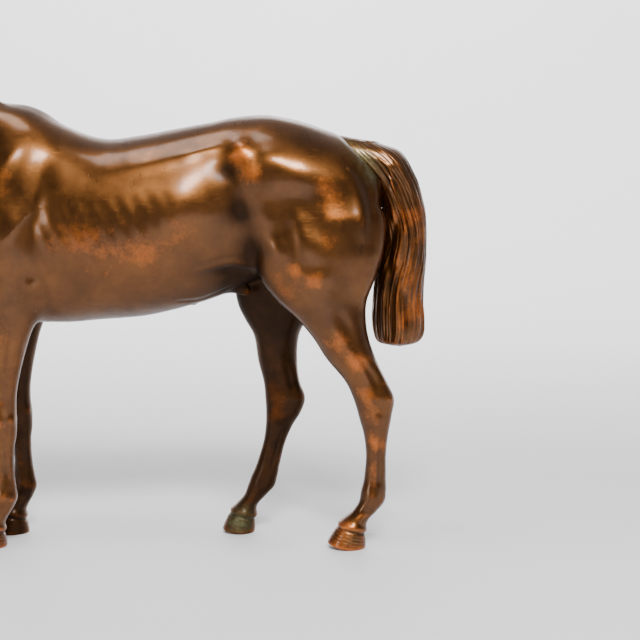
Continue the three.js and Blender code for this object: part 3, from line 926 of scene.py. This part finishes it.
def grid_values(field, low, high, step):
    """A field on a grid: exact near its surface, found in ever smaller blocks, elsewhere only its sign."""
    blocks_along = np.ceil((high - low) / step / 8).astype(int)
    shape = 8 * blocks_along + 1
    values = np.ones(shape)
    blocks = 8 * np.argwhere(np.ones(blocks_along))
    for size in (8, 4, 2):
        if size < 8:
            blocks = (blocks[:, None] + size * cube(2)).reshape(-1, 3)
        middle = everywhere(field, low + step * (blocks + size / 2))
        near = np.abs(middle) < 1.15 * size * step + 0.3
        far = (blocks[~near][:, None] + cube(size + 1)).reshape(-1, 3)
        values[tuple(far.T)] = np.repeat(np.sign(middle[~near]), (size + 1) ** 3)
        blocks = blocks[near]
    wanted = np.zeros(shape, bool)
    wanted[tuple((blocks[:, None] + cube(3)).reshape(-1, 3).T)] = True
    values[wanted] = everywhere(field, low + step * np.argwhere(wanted))
    return values


def unpinched(values):
    """The grid with an outside corner taken in on each grid face where the surface would touch itself."""
    around = np.array([(0, 0), (1, 0), (1, 1), (0, 1)])
    for _ in range(PINCH_ROUNDS):
        pinches = 0
        for u, v in ((0, 1), (1, 2), (2, 0)):
            sides = []
            for a, b in around:
                part = [slice(None)] * 3
                part[u] = slice(a, values.shape[u] - 1 + a)
                part[v] = slice(b, values.shape[v] - 1 + b)
                sides.append(values[tuple(part)] < 0)
            faces = (sides[0] == sides[2]) & (sides[1] == sides[3]) & (sides[0] != sides[1])
            for place in np.argwhere(faces):
                corners = np.tile(place, (4, 1))
                corners[:, u] += around[:, 0]
                corners[:, v] += around[:, 1]
                outer = [tuple(corner) for corner in corners if values[tuple(corner)] >= 0]
                if outer:
                    nearest = min(outer, key=lambda corner: values[corner])
                    values[nearest] = -0.5 * values[nearest] - 0.001
                    pinches += 1
        if not pinches:
            break
    return values


def surface_net(values, low, step):
    """The quads of the surface where a grid of field values changes sign, facing outwards."""
    inside = values < 0
    shape = tuple(n - 1 for n in values.shape)
    corners = [np.array([i, j, k]) for i in (0, 1) for j in (0, 1) for k in (0, 1)]
    count = sum(inside[i:i + shape[0], j:j + shape[1], k:k + shape[2]].astype(np.int8) for i, j, k in corners)
    cells = np.argwhere((count > 0) & (count < 8))
    number = np.full(shape, -1)
    number[tuple(cells.T)] = np.arange(len(cells))
    total, crossings = np.zeros((len(cells), 3)), np.zeros(len(cells))
    for axis in range(3):
        unit = np.eye(3, dtype=int)[axis]
        for corner in corners:
            if corner[axis]:
                continue
            a, b = values[tuple((cells + corner).T)], values[tuple((cells + corner + unit).T)]
            crossed = (a < 0) != (b < 0)
            part = a[crossed] / (a[crossed] - b[crossed])
            total[crossed] += corner + part[:, None] * unit
            crossings[crossed] += 1
    points = low + step * (cells + total / crossings[:, None])
    quads = []
    for axis in range(3):
        unit = np.eye(3, dtype=int)
        u, v = unit[(axis + 1) % 3], unit[(axis + 2) % 3]
        start = u + v
        stop = [shape[i] for i in range(3)]
        here = inside[tuple(slice(start[i], stop[i]) for i in range(3))]
        there = inside[tuple(slice(start[i] + unit[axis][i], stop[i] + unit[axis][i]) for i in range(3))]
        edges = np.argwhere(here != there) + start
        outward = here[tuple((edges - start).T)]
        ring = [number[tuple((edges - offset).T)] for offset in (u + v, v, 0 * u, u)]
        quad = np.stack(ring, axis=1)
        quad[~outward] = quad[~outward][:, ::-1]
        quads.append(quad)
    return points, np.vstack(quads)


def cut(bm, point, outward):
    """Cuts away what lies beyond a plane and closes the cut."""
    geometry = bm.verts[:] + bm.edges[:] + bm.faces[:]
    bmesh.ops.bisect_plane(bm, geom=geometry, plane_co=point, plane_no=outward, clear_outer=True)
    rim = [edge for edge in bm.edges if edge.is_boundary]
    bmesh.ops.holes_fill(bm, edges=rim, sides=0)


def casting(name, skin, low, high, step, cuts=()):
    """A closed mesh of a field inside a box, cut at planes given as (point, outward direction), in metres."""
    low, high = np.array(low, float), np.array(high, float)
    values = unpinched(grid_values(skin, low, high, step))
    points, quads = surface_net(values, low, step)
    slope, value = gradient(skin, points)
    shift = slope * (value / np.maximum((slope ** 2).sum(axis=1), 0.05))[:, None]
    points = points - np.clip(shift, -step, step)
    mesh = bpy.data.meshes.new(name)
    mesh.from_pydata((points * MM).tolist(), [], quads.tolist())
    bm = bmesh.new()
    bm.from_mesh(mesh)
    for point, outward in cuts:
        cut(bm, np.array(point) * MM, outward)
    loose = [v for v in bm.verts if not v.link_faces]
    bmesh.ops.delete(bm, geom=loose, context="VERTS")
    bm.to_mesh(mesh)
    bm.free()
    dress(mesh, skin, step)
    piece = bpy.data.objects.new(name, mesh)
    bpy.context.scene.collection.objects.link(piece)
    return piece


def proudness(p, normals, edges, rounds):
    """How far each vertex stands proud of the smoothed mesh, in mm, negative in hollows."""
    a, b = edges.T
    count = np.bincount(edges.ravel(), minlength=len(p))
    smooth = p
    for _ in range(rounds):
        smooth = np.stack([
            (np.bincount(a, smooth[b, i], len(p)) + np.bincount(b, smooth[a, i], len(p))) / count
            for i in range(3)
        ], axis=1)
    return ((p - smooth) * normals).sum(axis=1)


def dress(mesh, skin, step):
    """Gives a mesh its field's own normals, flat ones on its cuts, and its colours: rubbed copper, verdigris,
    dark hollows and painted shade.
    """
    co = np.empty(len(mesh.vertices) * 3)
    mesh.vertices.foreach_get("co", co)
    p = co.reshape(-1, 3) / MM
    slope, _ = gradient(skin, p)
    normals = slope / np.maximum(np.linalg.norm(slope, axis=1), 1e-9)[:, None]
    ends = np.empty(len(mesh.edges) * 2, dtype=np.int32)
    mesh.edges.foreach_get("vertices", ends)
    edges = ends.reshape(-1, 2)
    fine, broad = (proudness(p, normals, edges, round((reach / step) ** 2)) for reach in PROUD_REACHES)
    paint = mesh.color_attributes.new("patina_and_shade", "FLOAT_COLOR", "POINT")
    paint.data.foreach_set("color", patina_and_shade(p, normals, fine, broad).ravel())
    corners = np.empty(len(mesh.loops), dtype=np.int32)
    mesh.loops.foreach_get("vertex_index", corners)
    corner_normals = normals[corners]
    for face in mesh.polygons:
        face.use_smooth = True
        if face.loop_total > FLAT_FACE_CORNERS:
            corner_normals[face.loop_start:face.loop_start + face.loop_total] = face.normal
    mesh.normals_split_custom_set(corner_normals.tolist())


# ---- patina and painted shade: where the bronze is rubbed or green, dark in its hollows, and darkened where shade falls ----

RUBBED = [  # x, y, z on the left, radius, strength
    (66, -20, 171, 5, 0.9), (71, -22, 163, 5, 0.8), (90, -24, 122, 3.4, 0.9),
    (98, -24, 117.5, 4, 1.2), (107, -22, 121, 3.4, 0.8), (103, -23, 156, 6, 0.6),
    (107, -21, 147, 6, 0.6), (104, -22, 134, 6, 0.3), (86, -24, 112, 4, 0.5),
    (82, -24, 118, 4, 0.4), (24, -27, 129, 9, 0.5), (8, -27, 130, 9, 0.5), (-6, -27, 134, 9, 0.4),
    (42, -26, 137, 9, 0.35), (108, -21, 92, 6, 0.6), (116, -21, 82, 5, 0.8), (121, -20, 68, 4, 0.9),
    (124, -19, 60, 3.6, 0.7), (124, -19, 47, 4, 0.6), (122, -19, 33, 4, 0.4),
    (143, -6, 104, 6, 0.6), (136, -8, 98, 4, 0.7), (141, -6, 142, 10, 0.5), (138, -8, 117, 8, 0.45),
    (133, -9, 124, 4, 0.4), (80, 8, 66, 5, 0.7), (79, 8, 55, 4, 0.6), (112, -20, 10, 4, 0.6),
    (110, -20, 1, 8, 0.7), (63, 14, 1, 8, 0.6), (-42, -19, 60, 6, 0.5), (-40, -20, 90, 8, 0.4),
    (-46, -19, 8, 6, 0.4), (-55, -18, 136, 8, 0.5), (-36, -26, 158, 9, 0.4),
    (-124, -7, 208, 7, 0.4), (-140, -5, 184, 7, 0.6), (-112, -6, 247, 5, 0.6),
]
GREEN = [
    (118, -10, 168, 5, 1.0), (123, -12, 162, 4, 0.9), (112, -8, 174, 5, 0.6), (63, 8, 6, 6, 0.8),
    (113, -21, 6, 4, 0.3),
]
# Spots of painted shade in the flank's pocket and grooves, between the legs under the belly, and on the thigh
# where they dull the key light's highlight; the last three darken the tail's clefts.
DARK_AND_SHADE_SPOTS = [
    (61, -21, 163, 7, 0.9), (66, -22, 146, 6, 0.8), (70, -22, 130, 6, 0.9), (66, -8, 116, 12, 1.0),
    (58, -22, 118, 6, 0.5), (62, -23, 150, 7, 0.4), (78, -4, 118, 14, 0.9), (115, -19, 149, 5, 0.5),
    (120, -16, 160, 6, 0.4), (86, -24, 141, 4, 0.3), (132, -9, 135, 4, 0.8), (130, -9, 115, 4, 0.7),
    (138, -9, 98, 3, 0.7),
]

TWIN_STRENGTH = 0.6
speckle = ball_noise(21, 1.6)
clouds = ball_noise(22, 14.0)


def spots(places, p):
    """The sum of soft round spots. One on the left has a fainter twin on the right."""
    total = np.zeros(len(p))
    for x, y, z, radius, strength in places:
        for mirror, part in ((1, 1.0), (-1, TWIN_STRENGTH)):
            if y > 0 and mirror < 0:
                continue
            d2 = ((p - np.array([x, y * mirror, z])) ** 2).sum(axis=1)
            total += part * strength * np.exp(-d2 / radius ** 2)
    return total


def patina_and_shade(p, normals, fine, broad):
    """Red is rubbed copper, green is verdigris, and blue is dark in the hollows plus painted shade: on the
    legs' inner sides under the belly, on faces turned to the ground and in painted spots.
    """
    ridge = np.clip(2.6 * fine + 0.5 * broad - 0.14, 0, 1)
    hollow = np.clip(-2.4 * fine - 0.7 * broad, 0, 1)
    rubbed = np.clip(0.6 * ridge + spots(RUBBED, p) * (0.8 + 0.4 * clouds(p)), 0, 1)
    # Painted shade: the legs' inner sides below the belly and the faces turned to the ground are darkened.
    inward = np.clip(-1.4 * normals[:, 1] * np.sign(p[:, 1]), 0, 1) * np.clip((150 - p[:, 2]) / 30, 0, 1)
    under = np.clip(-normals[:, 2], 0, 1)
    dark = np.clip(hollow + spots(DARK_AND_SHADE_SPOTS, p) + 0.9 * inward + 0.35 * under, 0, 1)
    green = np.clip(spots(GREEN, p) * (0.9 + 0.5 * speckle(p)), 0, 1)
    return np.stack([rubbed, green, dark, np.ones(len(p))], axis=1)


# ---- materials ----

def feed(tree, socket, value):
    """Links a socket to another, or sets it to a value."""
    if isinstance(value, bpy.types.NodeSocket):
        tree.links.new(value, socket)
    else:
        socket.default_value = value


def node(tree, kind, **inputs):
    """A shader node with some of its inputs fed by name."""
    made = tree.nodes.new(kind)
    for key, value in inputs.items():
        feed(tree, made.inputs[key.replace("_", " ")], value)
    return made


def mixed(tree, factor, a, b):
    made = tree.nodes.new("ShaderNodeMix")
    made.data_type = "RGBA"
    for index, value in ((0, factor), (6, a), (7, b)):
        feed(tree, made.inputs[index], value)
    return made.outputs[2]


def maths(tree, operation, a, b=0.0, clamp=False):
    made = tree.nodes.new("ShaderNodeMath")
    made.operation, made.use_clamp = operation, clamp
    for socket, value in zip(made.inputs, (a, b)):
        feed(tree, socket, value)
    return made.outputs[0]


def ranged(tree, value, low, high, to_low=0.0, to_high=1.0):
    made = tree.nodes.new("ShaderNodeMapRange")
    tree.links.new(value, made.inputs[0])
    for index, number in enumerate((low, high, to_low, to_high), start=1):
        made.inputs[index].default_value = number
    return made.outputs[0]


def noise(tree, where, scale, detail=4.0, roughness=0.55):
    made = node(tree, "ShaderNodeTexNoise", Vector=where, Scale=scale, Detail=detail, Roughness=roughness)
    return made.outputs[0]


def colour(rgb, part=1.0):
    return (*(part * c for c in rgb), 1.0)


BROWN = (0.125, 0.046, 0.0105)
COPPER = (0.58, 0.15, 0.026)
# Near-black, for dark hollows and for painted shade.
SHADE_AND_GRIME = (0.014, 0.008, 0.005)
VERDIGRIS = (0.17, 0.17, 0.085)


def bronze_material(name, brown, copper):
    """Brown bronze under wax: rubbed copper, dark hollows and painted shade, verdigris, pits and hairline
    scratches.
    """
    material = bpy.data.materials.new(name)
    material.use_nodes = True
    tree = material.node_tree
    tree.nodes.clear()
    where = tree.nodes.new("ShaderNodeTexCoord").outputs["Object"]
    attribute = tree.nodes.new("ShaderNodeAttribute")
    attribute.attribute_name = "patina_and_shade"
    split = node(tree, "ShaderNodeSeparateColor", Color=attribute.outputs["Color"])
    rubbed, green, dark = split.outputs

    broad = noise(tree, where, 45.0, 3.0)
    blotches = noise(tree, where, 160.0, 5.0, 0.65)
    grain = noise(tree, where, 900.0, 3.0, 0.6)
    base = mixed(tree, ranged(tree, broad, 0.35, 0.65), colour(brown, 0.78), colour(brown, 1.25))
    base = mixed(tree, ranged(tree, blotches, 0.42, 0.72, 0.0, 0.45), base, colour(brown, 0.5))
    worn = maths(tree, "ADD", rubbed, ranged(tree, blotches, 0.3, 0.75, -0.22, 0.3))
    worn = maths(tree, "ADD", worn, ranged(tree, grain, 0.3, 0.7, -0.1, 0.1))
    base = mixed(tree, ranged(tree, worn, 0.2, 0.95, 0.0, 0.85), base, colour(copper))
    # Painted shade and the dark of the hollows darken the colour towards near-black.
    grime_and_shade = maths(tree, "MULTIPLY", dark, ranged(tree, blotches, 0.25, 0.6, 1.0, 0.8))
    base = mixed(tree, ranged(tree, grime_and_shade, 0.05, 0.9, 0.0, 0.9), base, colour(SHADE_AND_GRIME))
    bloom = maths(tree, "MULTIPLY", green, ranged(tree, grain, 0.35, 0.6, 0.5, 1.0), clamp=True)
    base = mixed(tree, bloom, base, colour(VERDIGRIS))

    rough = ranged(tree, blotches, 0.3, 0.7, 0.26, 0.4)
    rough = maths(tree, "ADD", rough, maths(tree, "MULTIPLY", dark, 0.2))
    rough = maths(tree, "ADD", rough, maths(tree, "MULTIPLY", rubbed, 0.16))
    rough = maths(tree, "ADD", rough, maths(tree, "MULTIPLY", bloom, 0.25), clamp=True)

    # Less wax where the hollows are dark and where shade is painted, which dims the reflections there, and
    # less on rubbed copper.
    wax = maths(tree, "SUBTRACT", maths(tree, "MULTIPLY", dark, -0.42), maths(tree, "MULTIPLY", rubbed, 0.2))
    wax = maths(tree, "ADD", wax, 0.5, clamp=True)

    turned = {"Vector": where, "Rotation": (0.3, 0.9, 0.2), "Scale": (60.0, 900.0, 2200.0)}
    lines = noise(tree, node(tree, "ShaderNodeMapping", **turned).outputs[0], 1.0, 1.0)
    scratches = ranged(tree, lines, 0.64, 0.70, 0.0, 1.0)
    pits = ranged(tree, noise(tree, where, 1500.0, 1.0), 0.68, 0.75)
    height = maths(tree, "ADD", maths(tree, "MULTIPLY", blotches, 0.35), maths(tree, "MULTIPLY", grain, 0.16))
    height = maths(tree, "SUBTRACT", height, maths(tree, "MULTIPLY", scratches, 0.18))
    height = maths(tree, "SUBTRACT", height, maths(tree, "MULTIPLY", pits, 0.3))
    bump = node(tree, "ShaderNodeBump", Height=height, Strength=0.35, Distance=0.0002)

    shader = node(
        tree, "ShaderNodeBsdfPrincipled", Base_Color=base, Roughness=rough, Metallic=1.0,
        Normal=bump.outputs[0], Coat_Weight=wax, Coat_Roughness=0.16,
    )
    output = tree.nodes.new("ShaderNodeOutputMaterial")
    tree.links.new(shader.outputs[0], output.inputs[0])
    return material


skin_bronze = bronze_material("patinated bronze with painted shade", BROWN, COPPER)
pin_bronze = bronze_material("pin bronze", tuple(1.15 * c for c in BROWN), COPPER)


# ---- the pieces ----

FINE = 1.0  # how much coarser than its own step each grid is
neck_plane = (tuple(ON_NECK.point(NECK_CUT, 0)), tuple(ON_NECK.along))
head_ahead = np.array([-math.cos(HEAD_CUT_LEAN), 0, math.sin(HEAD_CUT_LEAN)])


def away(plane):
    point, outward = plane
    return point, tuple(-np.array(outward))


head_plane = (HEAD_CUT_MIDDLE, tuple(head_ahead))
leg_plane = ((0, 0, LEG_CUT_Z), (0, 0, 1))
leg_boxes = {
    "left_hind": ((84, -28, -1), (136, -0.4, 99)),
    "right_hind": ((50, 0.4, -1), (100, 28, 99)),
    "left_fore": ((-60, -28, -1), (-16, -0.4, 99)),
    "right_fore": ((-60, 0.4, -1), (-14, 28, 99)),
}

pieces = {
    "trunk_casting": casting(
        "trunk", trunk_skin, (-76, -30, 94), (132, 30, 194), 0.85 * FINE, [away(leg_plane), neck_plane]),
    "neck_casting": casting(
        "neck", neck_skin, (-106, -22, 150), (-22, 22, 240), 0.62 * FINE, [away(neck_plane), head_plane]),
    "head_casting": casting(
        "head", head_skin, (-149, -15, 166), (-74, 15, 254), 0.5 * FINE, [away(head_plane)]),
    "tail_casting": casting("tail", tail_skin, (100, -12, 84), (149, 12, 182), 0.34 * FINE),
}
for leg_name, node_name in (
        ("left_hind", "left_hind_leg"), ("right_hind", "right_hind_leg"),
        ("left_fore", "left_foreleg"), ("right_fore", "right_foreleg")):
    low, high = leg_boxes[leg_name]
    pieces[node_name] = casting(leg_name + "_limb", leg_skin(leg_name), low, high, 0.5 * FINE, [leg_plane])

for node_name, piece in pieces.items():
    piece.data.materials.append(skin_bronze)
    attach(piece, "root")
    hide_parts(node_name)
for node_name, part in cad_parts.items():
    if node_name not in pieces:
        for material_slot in part.material_slots:
            material_slot.material = pin_bronze


# ---- stage, light and camera ----

def paper(name, shade):
    material = bpy.data.materials.new(name)
    material.use_nodes = True
    tree = material.node_tree
    shader = tree.nodes["Principled BSDF"]
    where = tree.nodes.new("ShaderNodeTexCoord").outputs["Object"]
    cloud = ranged(tree, noise(tree, where, 3.0), 0.3, 0.7)
    tone = mixed(tree, cloud, colour(shade, 0.98), colour(shade))
    tree.links.new(tone, shader.inputs["Base Color"])
    shader.inputs["Roughness"].default_value = 0.6
    return material


SWEEP_HALF = 6.0  # half the sweep's width, m
SWEEP_FRONT = -6.0
SWEEP_BEND = (1.0, 0.7)  # where the floor starts to rise, and the radius of its bend
SWEEP_TOP = 3.0


def sweep():
    """A floor that rises behind the horse in one smooth bend."""
    start, radius = SWEEP_BEND
    profile = [(SWEEP_FRONT, 0.0)]
    for k in range(25):
        angle = math.pi / 2 * k / 24
        profile.append((start + radius * math.sin(angle), radius * (1 - math.cos(angle))))
    profile.append((start + radius, SWEEP_TOP))
    mesh = bpy.data.meshes.new("sweep")
    points = [(x, y, z) for y, z in profile for x in (-SWEEP_HALF, SWEEP_HALF)]
    faces = [(2 * k, 2 * k + 1, 2 * k + 3, 2 * k + 2) for k in range(len(profile) - 1)]
    mesh.from_pydata(points, [], faces)
    for face in mesh.polygons:
        face.use_smooth = True
    made = bpy.data.objects.new("sweep", mesh)
    bpy.context.scene.collection.objects.link(made)
    return made


floor = sweep()
floor.data.materials.append(paper("pale paper", (0.86, 0.86, 0.87)))


def studio_world():
    """Pale surroundings, much brighter above and behind the horse than on the near side."""
    world = bpy.data.worlds.new("studio")
    world.use_nodes = True
    tree = world.node_tree
    background = tree.nodes["Background"]
    direction = tree.nodes.new("ShaderNodeTexCoord").outputs["Generated"]
    split = node(tree, "ShaderNodeSeparateXYZ", Vector=direction)
    behind = ranged(tree, split.outputs[1], -0.4, 0.5, 0.06, 0.75)
    above = ranged(tree, split.outputs[2], 0.3, 0.9, 0.0, 0.1)
    glow = ranged(tree, split.outputs[2], 0.0, 0.5, 0.2, 0.0)
    background.inputs[0].default_value = colour((0.95, 0.97, 1.0))
    total = maths(tree, "ADD", maths(tree, "ADD", behind, above), glow)
    tree.links.new(total, background.inputs[1])
    return world


bpy.context.scene.world = studio_world()


def aimed(name, data, place, target):
    """A lamp's or camera's object, turned to look at a target."""
    made = bpy.data.objects.new(name, data)
    made.location = place
    made.rotation_euler = (Vector(target) - Vector(place)).to_track_quat("-Z", "Y").to_euler()
    bpy.context.scene.collection.objects.link(made)
    return made


def softbox(name, place, target, size, watts):
    lamp = bpy.data.lights.new(name, "AREA")
    lamp.shape = "RECTANGLE"
    lamp.size, lamp.size_y = size
    lamp.energy = watts
    aimed(name, lamp, place, target)


MIDDLE = (0.06, 0.0, 0.14)
softbox("key", (0.22, -0.78, 0.80), MIDDLE, (0.36, 0.24), 15.0)
softbox("top", (-0.15, -0.14, 1.15), MIDDLE, (0.42, 0.22), 2.6)
softbox("side", (-1.0, -0.9, 0.35), MIDDLE, (0.3, 0.5), 4.0)
softbox("backdrop", (0.1, 0.45, 1.3), (0.1, 1.7, 1.0), (2.4, 0.5), 78.0)

VIEW_TARGET = Vector((0.100, 0.0, 0.0982))
VIEW_DISTANCE = 0.700
VIEW_RISE = math.radians(6)
SENSOR = 36.0  # mm
FOCAL_LENGTH = 2.4858 * SENSOR
camera = bpy.data.cameras.new("camera")
camera.sensor_width = SENSOR
camera.lens = FOCAL_LENGTH
camera.clip_start = 0.01
view_place = VIEW_TARGET + VIEW_DISTANCE * Vector((0, -math.cos(VIEW_RISE), math.sin(VIEW_RISE)))
bpy.context.scene.camera = aimed("camera", camera, view_place, VIEW_TARGET)
